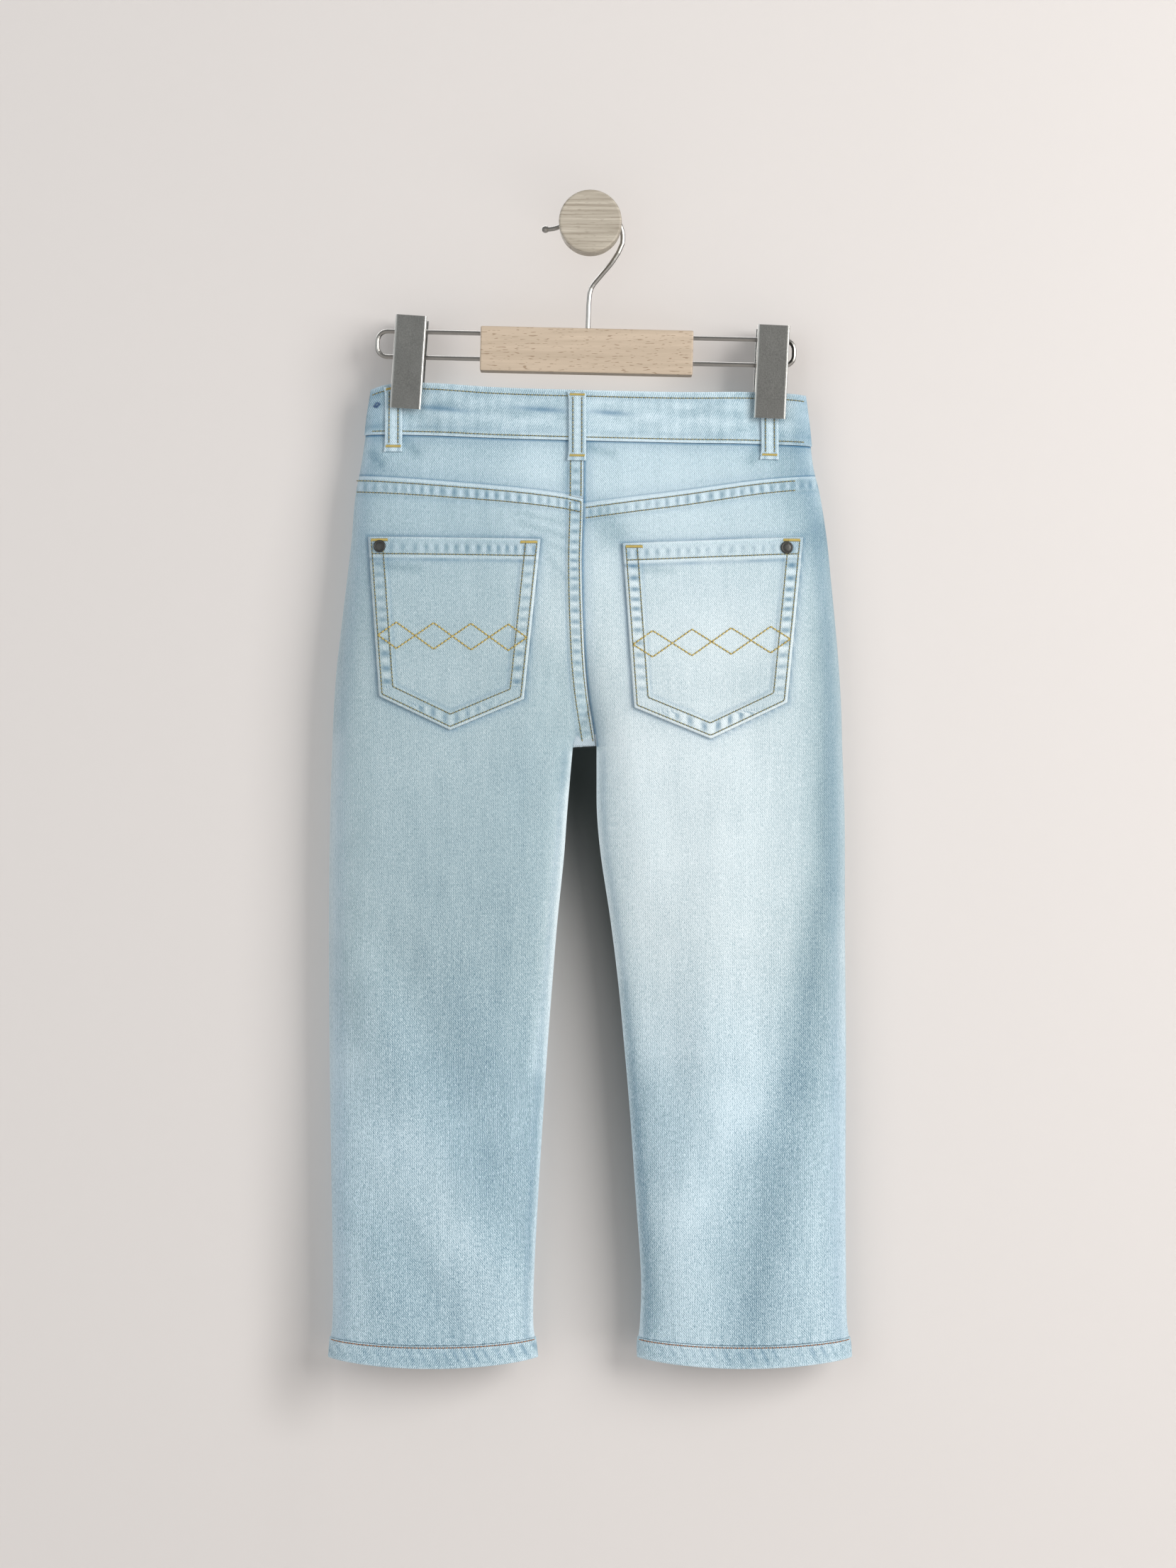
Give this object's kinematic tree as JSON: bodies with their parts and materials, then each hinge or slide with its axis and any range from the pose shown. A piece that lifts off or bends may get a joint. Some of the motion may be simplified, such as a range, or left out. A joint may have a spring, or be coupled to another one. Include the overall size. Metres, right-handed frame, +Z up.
{
  "type": "children's jeans hanging by the waistband from a clip hanger on a wall knob",
  "caption": "Light-wash straight-leg jeans hanging flat, back to the viewer, from a wooden clip hanger hooked on a round wooden wall knob.",
  "frame": {"origin": "centre of the wall knob's flat back face, on the wall", "axes": "+Z up; +Y into the wall, so a viewer who looks along +Y sees the garment's back; +X to that viewer's right"},
  "size_m": [0.3418, 0.05, 0.7619],
  "materials": {
    "denim": "light stone-washed blue twill, matt, worn pale along the seams",
    "thread": "khaki sewing thread, slight sheen",
    "thread_mustard": "mustard sewing thread, slight sheen",
    "rivet_metal": "dark gunmetal, satin",
    "hanger_wood": "pale beech, thin matt lacquer",
    "hanger_wire": "nickel-plated wire, half gloss",
    "clip_steel": "plain steel plate, satin",
    "pad_rubber": "black, matt",
    "knob_wood": "grey-beige turned wood, open grain"
  },
  "bodies": {
    "root": {"back_left": "denim", "back_right": "denim", "front_left": "denim", "front_right": "denim", "yoke_left": "denim", "yoke_right": "denim", "waistband": "denim", "hem_left": "denim", "hem_right": "denim", "back_pocket_left": "denim", "back_pocket_right": "denim", "belt_loop_back_left": "denim", "belt_loop_back_centre": "denim", "belt_loop_back_right": "denim", "belt_loop_front_left": "denim", "belt_loop_front_right": "denim", "hip_facing_left": "denim", "hip_facing_right": "denim", "fly": "denim", "rivet_left": "rivet_metal", "rivet_right": "rivet_metal", "waist_button": "rivet_metal", "hanger_bar": "hanger_wood", "hanger_hook": "hanger_wire", "wire_loop_left": "hanger_wire", "wire_loop_right": "hanger_wire", "wall_knob": "knob_wood", "clip_left_outer_plate": "clip_steel", "clip_left_outer_pad": "pad_rubber", "clip_left_wall_plate": "clip_steel", "clip_left_wall_pad": "pad_rubber", "clip_left_sleeve": "clip_steel", "clip_right_outer_plate": "clip_steel", "clip_right_outer_pad": "pad_rubber", "clip_right_wall_plate": "clip_steel", "clip_right_wall_pad": "pad_rubber", "clip_right_sleeve": "clip_steel"}
  },
  "joints": []
}
